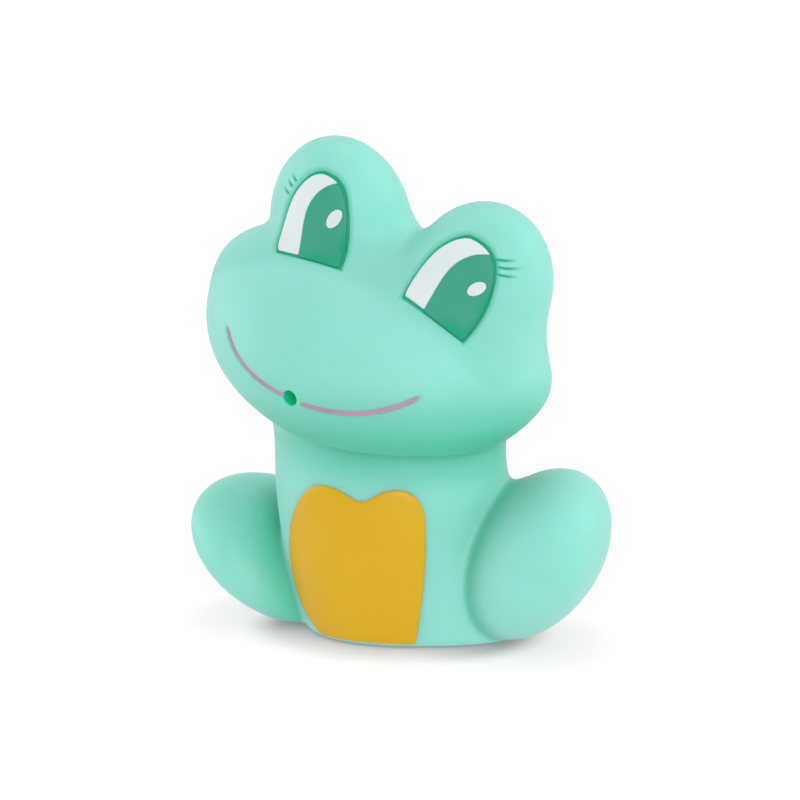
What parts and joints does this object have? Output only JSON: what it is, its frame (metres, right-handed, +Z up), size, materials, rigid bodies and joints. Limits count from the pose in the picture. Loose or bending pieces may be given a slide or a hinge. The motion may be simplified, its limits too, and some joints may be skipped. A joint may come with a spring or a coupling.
{
  "type": "bath squirter doll",
  "caption": "Sitting frog bath doll in soft hollow vinyl: broad tilted head with raised eye domes, squirt hole in the mouth line, folded haunches, flat base; the head turns.",
  "frame": {"origin": "middle of the base, below the middle of the whole toy, on the surface it stands on", "axes": "+Z up, the frog looks along -Y, +X is the frog's own left"},
  "size_m": [0.0696, 0.0484, 0.0771],
  "materials": {
    "mint_vinyl": "satin soft vinyl",
    "yellow_paint": "satin",
    "white_paint": "satin",
    "green_paint": "satin",
    "pink_paint": "satin"
  },
  "bodies": {
    "body": {"body_skin": "mint_vinyl", "belly_patch": "yellow_paint"},
    "head": {"head_skin": "mint_vinyl", "left_eye_white": "white_paint", "left_eye_iris": "green_paint", "left_eye_glint": "white_paint", "right_eye_white": "white_paint", "right_eye_iris": "green_paint", "right_eye_glint": "white_paint", "mouth_line_left": "pink_paint", "mouth_line_right": "pink_paint"}
  },
  "joints": [
    {"name": "head_turn", "type": "hinge", "parent": "body", "child": "head", "pos_m": [-0.00105, -0.00032, 0.0397], "axis": [0, 0, 1], "continuous": true}
  ]
}
